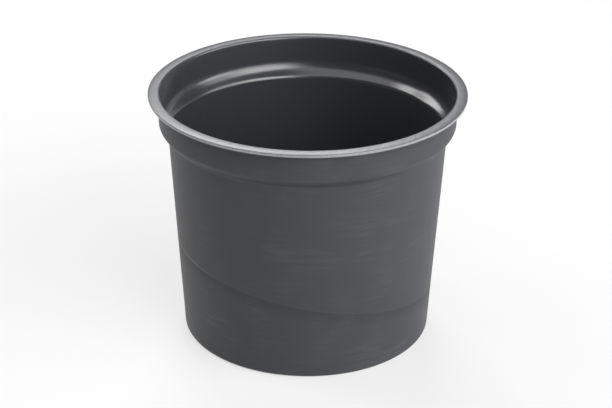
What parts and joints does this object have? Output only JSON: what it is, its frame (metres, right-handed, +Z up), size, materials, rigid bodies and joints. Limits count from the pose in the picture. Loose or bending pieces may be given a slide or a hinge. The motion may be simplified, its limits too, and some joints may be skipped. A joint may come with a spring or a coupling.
{
  "type": "seedling cup",
  "caption": "Round tapered plastic seedling cup with a flat lip, a stepped collar, and a raised drained floor inside a flat standing ring.",
  "frame": {"origin": "on the cup's axis, in the plane of the standing ring, which is the surface that the cup stands on", "axes": "+Z up along the cup's axis, from the base to the open lip; +X passes midway between two drainage holes"},
  "size_m": [0.105, 0.105, 0.085],
  "materials": {
    "cup_plastic": "satin charcoal, smooth from the mould, faint scuffs round the wall"
  },
  "bodies": {
    "root": {"cup_body": "cup_plastic"}
  },
  "joints": []
}
